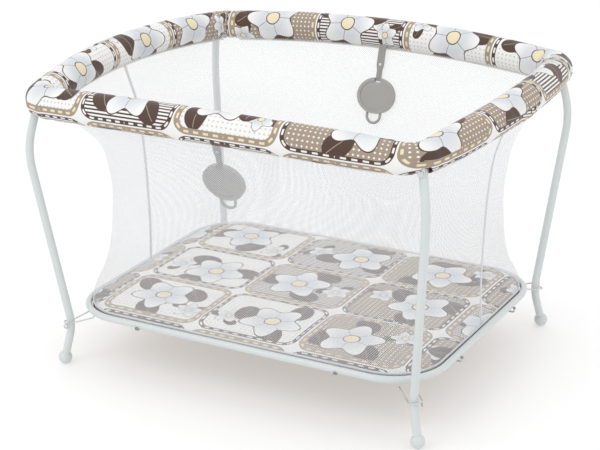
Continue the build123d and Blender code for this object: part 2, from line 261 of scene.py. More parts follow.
def build_patchwork():
    """Rounded patches with stitched bands, on white, with stripes, dots, flowers and leaves."""
    settings = bpy.context.scene.playpen_print
    tree, at, end = new_group(
        "Patchwork print",
        [
            ("Vector", "Vector", None),
            ("Patch Length", "Float", settings.patch_length),
            ("Patch Height", "Float", settings.patch_height),
        ],
        [("Color", "Color"), ("Stitch", "Float")],
    )
    white, dark, taupe = tuple(settings.white), tuple(settings.dark), tuple(settings.taupe)
    cream, shade = tuple(settings.cream), tuple(settings.shade)
    x, y, _ = split(tree, at["Vector"].socket)
    u, v = x / at["Patch Length"], y / at["Patch Height"]
    column, row = u.whole(), v.whole()
    px = (u.part() + -0.5) * at["Patch Length"]
    py = (v.part() + -0.5) * at["Patch Height"]
    chance = tree.nodes.new("ShaderNodeTexWhiteNoise")
    tree.links.new(join(tree, column, row, 3.0), chance.inputs["Vector"])
    luck = split(tree, chance.outputs["Color"])
    odd = ((column + row) * 0.5).part() * 2.0

    # distance outside the patch, and the distance along its edge for the dashes
    radius, dash_pitch = 0.036, 0.024
    cx = at["Patch Length"] * 0.5 + -radius
    cy = at["Patch Height"] * 0.5 + -radius
    qx, qy = abs(px) - cx, abs(py) - cy
    ax, ay = qx.most(0.0), qy.most(0.0)
    edge = (ax * ax + ay * ay).root() + qx.most(qy).least(0.0) + -radius
    run = abs(py).least(cy) + ay.math("ARCTAN2", ax) * (radius * 0.8) + (cx - abs(px).least(cx))
    dash = abs((run / dash_pitch).part() + -0.5).below(0.27, 0.05)

    def band(outer, inner, stitch):
        """The masks of a band inside the patch edge, and of the dashes along its middle."""
        middle = (outer + inner) / 2
        whole = abs(edge + middle).below((inner - outer) / 2)
        return whole, abs(edge + middle).below(stitch / 2) * dash

    # the ground of each patch: stripes, dots on white or dots on taupe
    stripe_pitch, dot_pitch, dot_size = 0.0078, 0.011, 0.2
    pale_grey = (0.62, 0.58, 0.54, 1)
    stripe = abs((py / stripe_pitch).part() + -0.5).below(0.235, 0.05)
    striped = mixed(tree, stripe, white, dark)
    dot_x, dot_y = (px / dot_pitch).part() + -0.5, (py / dot_pitch).part() + -0.5
    dots = ellipse(dot_x, dot_y, dot_size, dot_size).below(0.0, 0.05)
    light_dots = mixed(tree, dots, taupe, white)
    pale_dots = mixed(tree, dots, white, pale_grey)
    taupe_patch = luck[0].below(0.36, 0.01)
    pale_patch = luck[0].math("GREATER_THAN", 0.66)
    ground = mixed(tree, taupe_patch, striped, light_dots)
    ground = mixed(tree, pale_patch, ground, pale_dots)

    # a large and a small flower with leaves, moved and turned differently in each patch
    turn = luck[2] * 6.283
    leaf_size, heart, outline = (0.034, 0.024), 0.016, 0.0012

    def flower(ground, fx, fy, turn, size, leaves):
        """The ground with a flower on it: five petals, a heart and leaves."""
        cos_t, sin_t = turn.math("COSINE"), turn.math("SINE")
        gx = (fx * cos_t - fy * sin_t) / size
        gy = (fx * sin_t + fy * cos_t) / size
        for lx, ly in leaves:
            leaf = ellipse(gx + -lx, gy + -ly, *leaf_size)
            vein = abs(gy + -ly).below(0.0008) * leaf.below(-0.004)
            ground = mixed(tree, leaf.below(0.0, 0.0008), ground, dark)
            ground = mixed(tree, vein, ground, taupe)
        reach = (gx * gx + gy * gy).root()
        angle = gy.math("ARCTAN2", gx)
        petals = reach - ((angle * 5.0).math("COSINE") * 0.011 + 0.055)
        between = abs((angle * 2.5).math("COSINE")) * reach
        petal_paint = mixed(tree, reach.below(0.044, 0.03), white, shade)
        ground = mixed(tree, petals.below(0.0), ground, petal_paint)
        rays = between.below(outline) * reach.below(0.047) * reach.math("GREATER_THAN", heart)
        lines = abs(petals).below(0.0014).most(rays)
        ground = mixed(tree, lines, ground, dark)
        ground = mixed(tree, reach.below(heart), ground, cream)
        return mixed(tree, abs(reach + -heart).below(outline), ground, dark)

    shift_x, shift_y = (luck[1] + -0.5) * 0.06, (luck[2] + -0.5) * 0.04
    leaves = ((0.062, 0.018), (-0.052, 0.040), (-0.020, -0.062))
    small_x = px + shift_x * 0.5 + (odd + -0.5) * 0.15
    small_y = py + shift_y + (luck[0] + -0.5) * 0.10
    ground = flower(ground, small_x, small_y, turn + 2.0, 0.5, leaves[:2])
    big_x = px + shift_x + (odd + -0.5) * -0.05
    ground = flower(ground, big_x, py + shift_y * -1.0, turn, 1.12, leaves)

    # bands: taupe with cream dashes or brown with white dashes, and the white between patches
    wide, wide_dash = band(0.002, 0.0170, 0.0052)
    thin, thin_dash = band(0.002, 0.0120, 0.0044)
    taupe_band = mixed(tree, wide, ground, taupe)
    taupe_band = mixed(tree, wide_dash, taupe_band, cream)
    brown_band = mixed(tree, thin, ground, dark)
    brown_band = mixed(tree, thin_dash, brown_band, white)
    printed = mixed(tree, odd, taupe_band, brown_band)
    printed = mixed(tree, edge.below(-0.002), white, printed)
    tree.links.new(printed, end.inputs["Color"])
    stitch = wide_dash * (odd * -1.0 + 1.0) + thin_dash * odd
    tree.links.new(stitch.socket, end.inputs["Stitch"])


def build_weave():
    """Plain weave: its height, and painted shade that darkens the colour between its threads."""
    tree, at, end = new_group(
        "Plain weave",
        [("Vector", "Vector", None), ("Pitch", "Float", 0.0008)],
        [("Height", "Float"), ("Shade", "Float")],
    )
    x, y, _ = split(tree, at["Vector"].socket)
    u, v = x / at["Pitch"], y / at["Pitch"]
    over = ((u.whole() + v.whole()) * 0.5).part() * 2.0
    warp = abs((u * math.pi).math("SINE"))
    weft = abs((v * math.pi).math("SINE"))
    height = warp * over + weft * (over * -1.0 + 1.0)
    tree.links.new(height.socket, end.inputs["Height"])
    # painted shade: the colour is darker where the weave is low, between the threads
    tree.links.new((height * 0.16 + 0.84).socket, end.inputs["Shade"])


def build_knit_net():
    """Threads of a knitted net with staggered six-sided holes: 1 on a thread, 0 in a hole."""
    tree, at, end = new_group(
        "Knitted net",
        [("Vector", "Vector", None), ("Pitch", "Float", 0.005), ("Thread", "Float", 0.00125)],
        [("Alpha", "Float"), ("Height", "Float")],
    )
    x, y, _ = split(tree, at["Vector"].socket)
    u, v = x / at["Pitch"], y / at["Pitch"]
    row_pitch = 0.9
    slant = math.sqrt(0.75)
    near = None
    for shift in (0.0, 0.5):
        hu = (u + shift).part() + -0.5
        hv = ((v / row_pitch + shift).part() + -0.5) * row_pitch
        hole = abs(hu).most(abs(hu) * 0.5 + abs(hv) * slant)
        near = hole if near is None else near.least(hole)
    limit = (at["Thread"] / at["Pitch"]) * -0.5 + 0.42
    thread = ((near - limit) / 0.05 + 0.5).most(0.0).least(1.0)
    tree.links.new(thread.socket, end.inputs["Alpha"])
    tree.links.new((near * 2.0).socket, end.inputs["Height"])


def build_grain():
    """Fine surface grain and a slow drift of tone."""
    tree, at, end = new_group(
        "Surface grain",
        [("Vector", "Vector", None), ("Scale", "Float", 900.0), ("Drift", "Float", 6.0)],
        [("Height", "Float"), ("Tone", "Float")],
    )
    outs = []
    for key in ("Scale", "Drift"):
        node = tree.nodes.new("ShaderNodeTexNoise")
        node.inputs["Detail"].default_value = 3.0
        tree.links.new(at["Vector"].socket, node.inputs["Vector"])
        tree.links.new(at[key].socket, node.inputs["Scale"])
        outs.append(node.outputs["Fac"])
    tree.links.new(outs[0], end.inputs["Height"])
    tree.links.new(outs[1], end.inputs["Tone"])


def build_webbing_weave():
    """Ribbed webbing with a raised selvedge, along V, with painted shade in the grooves between its ribs."""
    tree, at, end = new_group(
        "Webbing weave",
        [("Vector", "Vector", None), ("Rib", "Float", 0.0016)],
        [("Height", "Float"), ("Shade", "Float")],
    )
    x, y, _ = split(tree, at["Vector"].socket)
    chevron = (y + abs((x / 0.006).part() + -0.5) * 0.004) / at["Rib"]
    rib = abs((chevron * math.pi).math("SINE"))
    tree.links.new(rib.socket, end.inputs["Height"])
    # painted shade: the colour is darker in the grooves between the ribs
    tree.links.new((rib * 0.35 + 0.65).socket, end.inputs["Shade"])


# ---- materials ------------------------------------------------------------------------------------
def new_material(name, base, roughness, **sockets):
    """A Principled material with constants on its own sockets: the material, tree and shader."""
    material = bpy.data.materials.new(name)
    material.use_nodes = True
    material.diffuse_color = base
    tree = material.node_tree
    shader = tree.nodes["Principled BSDF"]
    shader.inputs["Base Color"].default_value = base
    shader.inputs["Roughness"].default_value = roughness
    for label, value in sockets.items():
        shader.inputs[label.replace("_", " ")].default_value = value
    return material, tree, shader


def place_group(tree, name, vector, **values):
    """A node of the named shader group, with its own values."""
    node = tree.nodes.new("ShaderNodeGroup")
    node.node_tree = bpy.data.node_groups[name]
    tree.links.new(vector, node.inputs["Vector"])
    for label, value in values.items():
        node.inputs[label.replace("_", " ")].default_value = value
    return node


def coordinates(tree, kind, offset=(0, 0, 0)):
    """The piece's UV in metres, or its object coordinates, moved."""
    if kind == "UV":
        source = tree.nodes.new("ShaderNodeUVMap")
        source.uv_map = "Cloth"
        out = source.outputs["UV"]
    else:
        out = tree.nodes.new("ShaderNodeTexCoord").outputs["Object"]
    mapping = tree.nodes.new("ShaderNodeMapping")
    mapping.inputs["Location"].default_value = offset
    tree.links.new(out, mapping.inputs["Vector"])
    return mapping.outputs[0]


def add_bump(tree, shader, height, distance, strength, normal=None):
    """A bump on the shader, over the one before it if there is one: its normal."""
    bump = tree.nodes.new("ShaderNodeBump")
    bump.inputs["Distance"].default_value = distance
    bump.inputs["Strength"].default_value = strength
    tree.links.new(height, bump.inputs["Height"])
    if normal is not None:
        tree.links.new(normal, bump.inputs["Normal"])
    tree.links.new(bump.outputs["Normal"], shader.inputs["Normal"])
    return bump.outputs["Normal"]


def shaded(tree, colour_socket, shade_socket):
    """A colour darkened by a factor that varies: painted shade between threads or ribs, or a random tone."""
    node = tree.nodes.new("ShaderNodeMix")
    node.data_type = "RGBA"
    node.blend_type = "MULTIPLY"
    node.inputs["Factor"].default_value = 1.0
    if isinstance(colour_socket, bpy.types.NodeSocket):
        tree.links.new(colour_socket, node.inputs[6])
    else:
        node.inputs[6].default_value = colour_socket
    tree.links.new(shade_socket, node.inputs[7])
    return node.outputs[2]


def printed_cloth(name, kind, offset):
    """Printed woven polyester, with the weave and raised dashes in its bump, and painted shade between the
    threads in its colour.
    """
    material, tree, shader = new_material(
        name, (0.8, 0.78, 0.74, 1), 0.72, Sheen_Weight=0.25, Sheen_Roughness=0.4
    )
    at = coordinates(tree, kind, offset)
    print_node = place_group(tree, "Patchwork print", at)
    weave = place_group(tree, "Plain weave", at, Pitch=0.0009)
    tone = noise(tree, at, 9.0) * 0.10 + 0.94
    # painted shade from the weave darkens the print between the threads
    cloth = shaded(tree, print_node.outputs["Color"], weave.outputs["Shade"])
    tree.links.new(shaded(tree, cloth, tone.socket), shader.inputs["Base Color"])
    normal = add_bump(tree, shader, weave.outputs["Height"], 0.00012, 0.6)
    add_bump(tree, shader, print_node.outputs["Stitch"], 0.0002, 0.7, normal)
    return material


def plain_cloth(name, base, pitch=0.0007):
    """Woven tape or thread in one colour, with painted shade between its threads."""
    material, tree, shader = new_material(name, base, 0.8, Sheen_Weight=0.2)
    at = coordinates(tree, "Object")
    weave = place_group(tree, "Plain weave", at, Pitch=pitch)
    tone = noise(tree, at, 12.0) * 0.12 + 0.92
    # painted shade from the weave darkens the colour between the threads
    cloth = shaded(tree, base, weave.outputs["Shade"])
    tree.links.new(shaded(tree, cloth, tone.socket), shader.inputs["Base Color"])
    add_bump(tree, shader, weave.outputs["Height"], 0.00012, 0.7)
    return material


def grained(name, base, roughness, scale, depth, drift=0.06, spread=0.08, **sockets):
    """Paint, plastic or board: fine grain in the bump, slow drift in colour and gloss."""
    material, tree, shader = new_material(name, base, roughness, **sockets)
    at = coordinates(tree, "Object")
    grain = place_group(tree, "Surface grain", at, Scale=scale, Drift=7.0)
    tone = Field(tree, grain.outputs["Tone"])
    colour_tone = tone * (2 * drift) + (1.0 - drift)
    tree.links.new(shaded(tree, base, colour_tone.socket), shader.inputs["Base Color"])
    tree.links.new((tone * (2 * spread) + (roughness - spread)).socket, shader.inputs["Roughness"])
    add_bump(tree, shader, grain.outputs["Height"], depth, 0.6)
    return material


def net_material():
    """Knitted net, open between its threads."""
    settings = bpy.context.scene.playpen_net
    tint = tuple(settings.tint)
    material, tree, shader = new_material("White knitted net", tint, 0.75)
    at = coordinates(tree, "UV")
    net = place_group(tree, "Knitted net", at, Pitch=settings.pitch, Thread=settings.thread)
    tree.links.new(net.outputs["Alpha"], shader.inputs["Alpha"])
    tone = noise(tree, at, 8.0) * 0.08 + 0.95
    tree.links.new(shaded(tree, tint, tone.socket), shader.inputs["Base Color"])
    add_bump(tree, shader, net.outputs["Height"], 0.0003, 0.5)
    return material


def webbing_material():
    """Ribbed polyester webbing, with painted shade in the grooves between its ribs."""
    base = tuple(bpy.context.scene.playpen_finish.webbing)
    material, tree, shader = new_material("Grey webbing", base, 0.7, Sheen_Weight=0.2)
    at = coordinates(tree, "UV")
    weave = place_group(tree, "Webbing weave", at)
    # painted shade from the ribs darkens the grooves between them
    tree.links.new(shaded(tree, base, weave.outputs["Shade"]), shader.inputs["Base Color"])
    add_bump(tree, shader, weave.outputs["Height"], 0.0004, 0.8)
    return material


def zinc_material():
    """Zinc plate: metal with a faint brushed grain and dull spots."""
    material, tree, shader = new_material("Zinc plate", (0.62, 0.64, 0.65, 1), 0.34, Metallic=1.0)
    at = coordinates(tree, "Object")
    grain = place_group(tree, "Surface grain", at, Scale=1400.0, Drift=90.0)
    dull = Field(tree, grain.outputs["Tone"]) * 0.3 + 0.2
    tree.links.new(dull.socket, shader.inputs["Roughness"])
    add_bump(tree, shader, grain.outputs["Height"], 0.00005, 0.5)
    return material


# ---- mesh helpers -----------------------------------------------------------------------------------
def bowed_quarter(half_x, half_y, long_r, short_r, corner_r, steps=48):
    """From the middle of the +X side to the middle of the +Y side: points, and 0 to 1 crowns."""
    centre_long = np.array([0.0, half_y - long_r])
    centre_short = np.array([half_x - short_r, 0.0])
    reach_long, reach_short = long_r - corner_r, short_r - corner_r
    apart = np.linalg.norm(centre_short - centre_long)
    ahead = (centre_short - centre_long) / apart
    along = (reach_long**2 - reach_short**2 + apart**2) / (2 * apart)
    across = math.sqrt(reach_long**2 - along**2)
    options = [
        centre_long + ahead * along + side * across * np.array([-ahead[1], ahead[0]])
        for side in (1, -1)
    ]
    centre = max(options, key=sum)
    toward_short = math.atan2(*(centre - centre_short)[::-1])
    toward_long = math.atan2(*(centre - centre_long)[::-1])

    def arc(middle, radius, start, stop):
        a = np.linspace(start, stop, steps)
        return middle + radius * np.stack([np.cos(a), np.sin(a)], 1)

    short = arc(centre_short, short_r, 0.0, toward_short)
    corner = arc(centre, corner_r, toward_short, toward_long)
    long = arc(centre_long, long_r, toward_long, math.pi / 2)
    crown = np.zeros((3 * steps, 2))
    crown[:steps, 1] = 1 - (short[:, 1] / short[-1, 1]) ** 2
    crown[2 * steps:, 0] = 1 - (long[:, 0] / long[0, 0]) ** 2
    return np.concatenate([short, corner, long]), crown


def spaced(points, count, closed=False, axes=2):
    """Points moved to equal steps along their line in the first axes, with the rest carried along."""
    if closed:
        points = np.vstack([points, points[:1]])
    step = np.linalg.norm(np.diff(points[:, :axes], axis=0), axis=1)
    run = np.concatenate([[0], np.cumsum(step)])
    keep = np.concatenate([[True], step > 1e-9])
    at = np.linspace(0, run[-1], count, endpoint=not closed)
    return np.stack([np.interp(at, run[keep], c[keep]) for c in points.T], 1), run[-1]


def bowed_ring(half_x, half_y, long_r, short_r, corner_r, z=0.0, crowns=(0.0, 0.0)):
    """A closed bowed loop from the middle of the back, through the left side and the front."""
    flat, crown = bowed_quarter(half_x, half_y, long_r, short_r, corner_r)
    quarter = np.column_stack([flat, z + crown @ np.array(crowns)])
    flip_x, flip_y = np.array([-1, 1, 1]), np.array([1, -1, 1])
    return np.concatenate([
        (quarter * flip_x)[::-1],
        quarter * flip_x * flip_y,
        (quarter * flip_y)[::-1],
        quarter,
    ])


def grid_object(name, rows, uvs=None, wrap_u=False, wrap_v=False, material=None):
    """A mesh of quads from points[i][j], with the UV map Cloth in metres."""
    count_u, count_v = rows.shape[:2]
    mesh = bpy.data.meshes.new(name)
    across = count_u if wrap_u else count_u - 1
    around = count_v if wrap_v else count_v - 1
    faces, corners = [], []
    for i in range(across):
        for j in range(around):
            quad = ((i, j), (i + 1, j), (i + 1, j + 1), (i, j + 1))
            faces.append([(a % count_u) * count_v + b % count_v for a, b in quad])
            corners += quad
    mesh.from_pydata(rows.reshape(-1, 3).tolist(), [], faces)
    if uvs is not None:
        layer = mesh.uv_layers.new(name="Cloth")
        table = np.array([uvs[a, b] for a, b in corners], np.float32)
        layer.data.foreach_set("uv", table.ravel())
    mesh.shade_smooth()
    return link(name, mesh, material)


def link(name, mesh, material=None):
    """A new object in the scene, at the origin."""
    piece = bpy.data.objects.new(name, mesh)
    bpy.context.scene.collection.objects.link(piece)
    if material is not None:
        mesh.materials.clear()
        mesh.materials.append(material)
    return piece


def applied(piece):
    """The piece with its modifiers made part of its mesh."""
    bpy.context.view_layer.update()
    graph = bpy.context.evaluated_depsgraph_get()
    mesh = bpy.data.meshes.new_from_object(piece.evaluated_get(graph), depsgraph=graph)
    piece.modifiers.clear()
    piece.data = mesh
    return piece


def subdivided(piece):
    """The piece with its faces divided once and smoothed."""
    modifier = piece.modifiers.new("Smooth", "SUBSURF")
    modifier.levels = modifier.render_levels = 1
    return applied(piece)


def closed_ends(piece):
    """The piece with its open ends filled and its faces pointing outwards."""
    work = bmesh.new()
    work.from_mesh(piece.data)
    bmesh.ops.holes_fill(work, edges=[e for e in work.edges if e.is_boundary], sides=0)
    bmesh.ops.recalc_face_normals(work, faces=work.faces)
    work.to_mesh(piece.data)
    work.free()
    return piece


def extruded(outline, rise, work):
    """A face and the wall that rises from it, added to a bmesh."""
    base = work.faces.new([work.verts.new(p) for p in outline])
    wall = bmesh.ops.extrude_face_region(work, geom=[base])
    moved = [v for v in wall["geom"] if isinstance(v, bmesh.types.BMVert)]
    bmesh.ops.translate(work, verts=moved, vec=(0, 0, rise))


def finished_mesh(name, work):
    """The mesh of a bmesh, with its faces pointing outwards."""
    bmesh.ops.recalc_face_normals(work, faces=work.faces)
    mesh = bpy.data.meshes.new(name)
    work.to_mesh(mesh)
    work.free()
    return mesh


def set_points(piece, points):
    """Move the piece's points."""
    piece.data.vertices.foreach_set("co", points.astype(np.float32).ravel())
    piece.data.update()


def inflated(piece, pinned, pressure, frames, cap):
    """Cloth simulation with pressure and no gravity. No point moves further than the cap."""
    scene = bpy.context.scene
    group = piece.vertex_groups.new(name="pinned")
    group.add([int(i) for i in pinned], 1.0, "REPLACE")
    start = np.array([v.co for v in piece.data.vertices])
    cloth = piece.modifiers.new("Cloth", "CLOTH")
    settings = cloth.settings
    settings.vertex_group_mass = "pinned"
    settings.use_pressure = True
    settings.uniform_pressure_force = pressure
    settings.quality = 6
    settings.mass = 0.25
    settings.tension_stiffness = settings.compression_stiffness = 12.0
    settings.shear_stiffness = 6.0
    settings.bending_stiffness = 0.6
    settings.effector_weights.gravity = 0.0
    cloth.collision_settings.use_collision = False
    cloth.point_cache.frame_start = 1
    cloth.point_cache.frame_end = frames
    for step in range(1, frames + 1):
        scene.frame_set(step)
    graph = bpy.context.evaluated_depsgraph_get()
    shown = piece.evaluated_get(graph).to_mesh()
    end = np.array([v.co for v in shown.vertices])
    piece.evaluated_get(graph).to_mesh_clear()
    piece.modifiers.remove(cloth)
    scene.frame_set(1)
    move = end - start
    size = np.linalg.norm(move, axis=1, keepdims=True)
    end = start + move * np.minimum(1.0, cap / np.maximum(size, 1e-9))
    set_points(piece, end)
    return piece


def level_ring(path):
    """Outward level and upward directions along a closed path."""
    ahead = np.roll(path, -1, 0) - np.roll(path, 1, 0)
    ahead /= np.linalg.norm(ahead, axis=1, keepdims=True)
    out = np.cross(ahead, [0.0, 0.0, 1.0])
    out /= np.linalg.norm(out, axis=1, keepdims=True)
    return out, np.cross(out, ahead)


def ring_cord(name, path, radius, sides, material):
    """A round cord along a closed path that never stands upright."""
    out, up = level_ring(path)
    a = np.linspace(0, 2 * math.pi, sides, endpoint=False)
    rows = path[:, None] + radius * (
        np.cos(a)[None, :, None] * out[:, None] + np.sin(a)[None, :, None] * up[:, None]
    )
    return grid_object(name, rows, None, True, True, material)


def stitch_tree():
    """Geometry Nodes: thread stitches along a line, spaced and made real."""
    tree = bpy.data.node_groups.new("Stitches along a line", "GeometryNodeTree")
    tree.interface.new_socket("Geometry", in_out="INPUT", socket_type="NodeSocketGeometry")
    for label, default in (("Spacing", 0.006), ("Stitch Length", 0.004), ("Thread Radius", 0.0004)):
        socket = tree.interface.new_socket(label, in_out="INPUT", socket_type="NodeSocketFloat")
        socket.default_value = default
    tree.interface.new_socket("Thread", in_out="INPUT", socket_type="NodeSocketMaterial")
    tree.interface.new_socket("Geometry", in_out="OUTPUT", socket_type="NodeSocketGeometry")

    def add(kind, **settings):
        node = tree.nodes.new(kind)
        for key, value in settings.items():
            setattr(node, key, value)
        return node

    start, end = add("NodeGroupInput"), add("NodeGroupOutput")
    to_curve = add("GeometryNodeMeshToCurve")
    resample = add("GeometryNodeResampleCurve", mode="LENGTH")
    ball = add("GeometryNodeMeshUVSphere")
    ball.inputs["Segments"].default_value = 6
    ball.inputs["Rings"].default_value = 4
    ball.inputs["Radius"].default_value = 1.0
    tangent = add("GeometryNodeInputTangent")
    align = add("FunctionNodeAlignRotationToVector", axis="Z")
    size = add("ShaderNodeCombineXYZ")
    half = add("ShaderNodeMath", operation="MULTIPLY")
    half.inputs[1].default_value = 0.5
    place = add("GeometryNodeInstanceOnPoints")
    real = add("GeometryNodeRealizeInstances")
    paint = add("GeometryNodeSetMaterial")
    wires = (
        (start.outputs["Geometry"], to_curve.inputs[0]),
        (to_curve.outputs[0], resample.inputs["Curve"]),
        (start.outputs["Spacing"], resample.inputs["Length"]),
        (resample.outputs[0], place.inputs["Points"]),
        (ball.outputs["Mesh"], place.inputs["Instance"]),
        (tangent.outputs[0], align.inputs["Vector"]),
        (align.outputs[0], place.inputs["Rotation"]),
        (start.outputs["Thread Radius"], size.inputs[0]),
        (start.outputs["Thread Radius"], size.inputs[1]),
        (start.outputs["Stitch Length"], half.inputs[0]),
        (half.outputs[0], size.inputs[2]),
        (size.outputs[0], place.inputs["Scale"]),
        (place.outputs[0], real.inputs[0]),
        (real.outputs[0], paint.inputs["Geometry"]),
        (start.outputs["Thread"], paint.inputs["Material"]),
        (paint.outputs[0], end.inputs[0]),
    )
    for a, b in wires:
        tree.links.new(a, b)
    return tree


def stitched_line(name, path, closed, material, spacing=0.006, stitch=0.004, radius=0.00045,
                  shown=None):
    """Stitches along a path, as one plain mesh. Where shown is false, the line has a gap."""
    tree = bpy.data.node_groups.get("Stitches along a line") or stitch_tree()
    mesh = bpy.data.meshes.new(name)
    edges = [(i, i + 1) for i in range(len(path) - 1)]
    if closed:
        edges.append((len(path) - 1, 0))
    if shown is not None:
        edges = [(a, b) for a, b in edges if shown[a] and shown[b]]
    mesh.from_pydata([tuple(p) for p in path], edges, [])
    piece = link(name, mesh)
    modifier = piece.modifiers.new("Stitches", "NODES")
    modifier.node_group = tree
    values = {"Spacing": spacing, "Stitch Length": stitch, "Thread Radius": radius, "Thread": material}
    for item in tree.interface.items_tree:
        if item.in_out == "INPUT" and item.name in values:
            modifier[item.identifier] = values[item.name]
    applied(piece)
    piece.data.shade_smooth()
    return piece


def finish_nodes(names, material):
    """Give one material to each named node of the frame."""
    for name in names:
        piece = NODES[name]
        if not piece.material_slots:
            piece.data.materials.append(material)
        for slot in piece.material_slots:
            slot.material = material


def settled(piece, body):
    """The piece on its body."""
    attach(piece, body)
    return piece


# ---- the padded roll ----------------------------------------------------------------------------------
def roll_frame(count):
    """Centre line of the roll, its outward and upward directions, and its length."""
    ring = bowed_ring(*ROLL_HALF, *ROLL_BOW, ROLL_CORNER, ROLL_Z, ROLL_CROWN)
    path, total = spaced(ring, count, closed=True)
    out, up = level_ring(path)
    return path, out, up, total


def round_roll(path, out, up, radius, angle):
    """Points round the roll: the angle runs from straight down, outwards."""
    return path + radius * (np.sin(angle) * out - np.cos(angle) * up)


def ripple(x, seed):
    """Smooth uneven waves, the same each run."""
    rng = np.random.default_rng(seed)
    waves = np.zeros_like(x)
    for k in range(1, 6):
        waves += np.sin(x * k * rng.uniform(0.7, 1.3) + rng.uniform(0, 6.28)) / k
    return waves / 2.3


def near_corner(path, spread):
    """1 at a corner of the roll, falling to 0 along the sides."""
    gap = np.linalg.norm(np.abs(path[:, :2]) - np.array(ROLL_TURNS), axis=1)
    return np.exp(-(gap / spread) ** 2)


def roll_radii(path, run, turn, pucker):
    """The cover's uneven radius along the roll and round it."""
    ease, pinch_depth, slack_depth, bumps = 0.0006, 0.0045, 0.0007, 0.0004
    fold_pitch, gather_pitch, gather_depth = 0.021, 0.029, 0.0026
    # a little slack of the foam, and a pinch at the front right corner
    corner = near_corner(path, 0.09)
    pinch = corner * np.where((path[:, 0] > 0) & (path[:, 1] < 0), -pinch_depth, 0.0)
    slack = slack_depth * ripple(run * 9.0, 5)
    radius = (ROLL_R - ease + pinch + slack)[:, None] * np.ones(len(turn))
    # folds of surplus cloth inside each corner
    inside = np.clip(-np.sin(turn) * 0.75 - np.cos(turn) * 0.25 + 0.15, 0, 1)
    folds = np.cos(run * 2 * math.pi / fold_pitch + 1.8 * ripple(run * 30, 8))
    radius -= pucker * (np.clip(folds, -0.2, 1) * corner)[:, None] * inside[None]
    # shallow ones outside the corners and at the middle of the right side
    middle = np.exp(-(np.abs(path[:, 1] + 0.02) / 0.09) ** 2) * (path[:, 0] > 0)
    outside = np.clip(np.sin(turn + 0.5), 0, 1)
    gathers = np.cos(run * 2 * math.pi / gather_pitch + 2.2 * ripple(run * 21, 3))
    drift = 0.5 + 0.5 * np.cos(turn[None] * 2 + run[:, None] * 40)
    radius -= gather_depth * (gathers * (middle + 0.55 * corner))[:, None] * outside[None] * drift
    return radius + bumps * ripple(run[:, None] * 60 + turn[None] * 3, 12)


def build_roll():
    """The padded roll in its printed cover: a whole number of patches round the loop."""
    settings = bpy.context.scene.playpen_roll
    patch = bpy.context.scene.playpen_print
    along, around = settings.along, settings.around
    path, out, up, total = roll_frame(along)
    run = np.linspace(0, total, along, endpoint=False)
    turn = np.linspace(0, 2 * math.pi, around, endpoint=False)
    radius = roll_radii(path, run, turn, settings.pucker)
    rows = round_roll(path[:, None], out[:, None], up[:, None], radius[..., None], turn[None, :, None])
    patches = 2 * round(total / patch.patch_length / 2)
    u = np.linspace(0, patches * patch.patch_length, along + 1)
    v = np.linspace(0, 2 * math.pi * ROLL_R, around + 1)
    uvs = np.stack(np.meshgrid(u, v, indexing="ij"), 2)
    start_along, start_round = 0.06, 0.043  # places the patches on the roll
    cover = printed_cloth("Printed cover", "UV", (start_along, patch.patch_height - start_round, 0))
    piece = grid_object("roll_cover", rows, uvs, True, True, cover)
    pinned = [i * around + j for i in range(along) for j in (around - 1, 0, 1)]
    inflated(piece, pinned, 4.0, 10, settings.swell)
    subdivided(piece)
    cut_leg_slots(piece)
    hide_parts("rim_cover", "rim_foam")
    settled(piece, "rim")


def leg_slots():
    """For each leg: the pivot, the level direction in which it swings, and the one across."""
    for corner in CORNERS:
        sx = 1 if corner.endswith("right") else -1
        sy = 1 if corner.startswith("back") else -1
        swing = Vector((-sx * math.cos(FOLD_YAW), sy * math.sin(FOLD_YAW), 0))
        yield Vector((sx * LEG_PIVOT[0], sy * LEG_PIVOT[1], 0)), swing, Vector((-swing.y, swing.x, 0))


def clear_of_slots(points, room=0.004):
    """Whether each point is beside every leg slot."""
    clear = np.ones(len(points), bool)
    for pivot, swing, across in leg_slots():
        offset = points - np.array(pivot)
        along, side = offset @ np.array(swing), offset @ np.array(across)
        clear &= ~((along < SLOT_IN + room) & (along > -SLOT_OUT - room)
                   & (np.abs(side) < SLOT_WIDTH / 2 + room))
    return clear


def cut_leg_slots(piece):
    """Openings under the corners, where the legs leave the roll and swing inwards."""
    half, steps = SLOT_WIDTH / 2, 24
    work = bmesh.new()
    for pivot, swing, across in leg_slots():
        ring = []
        for k in range(steps):
            a = 2 * math.pi * k / steps
            along = half * math.cos(a) + (SLOT_IN - half if math.cos(a) > 0 else half - SLOT_OUT)
            ring.append(pivot + swing * along + across * (half * math.sin(a)))
        extruded([(p.x, p.y, SLOT_TOP) for p in ring], -SLOT_DEPTH, work)
    cutter = link("slots", finished_mesh("slots", work))
    cut = piece.modifiers.new("Slots", "BOOLEAN")
    cut.solver = "MANIFOLD"
    cut.object = cutter
    applied(piece)
    bpy.data.objects.remove(cutter)


def build_roll_seam():
    """The turned seam under the roll where the net is sewn in, and its stitches."""
    path, out, up, _ = roll_frame(420)
    tape = plain_cloth("White binding", (0.80, 0.79, 0.775, 1))
    line = round_roll(path, out, up, ROLL_R + 0.0006, math.radians(-26))
    binding = ring_cord("roll_binding", line, 0.0019, 8, tape)
    cut_leg_slots(binding)
    settled(binding, "rim")
    thread = plain_cloth("White thread", (0.82, 0.81, 0.79, 1), pitch=0.0003)
    for name, degrees in (("roll_stitches_inner", -40), ("roll_stitches_outer", 22)):
        row = round_roll(path, out, up, ROLL_R + 0.0004, math.radians(degrees))
        stitches = stitched_line(name, row, True, thread, shown=clear_of_slots(row))
        settled(stitches, "rim")


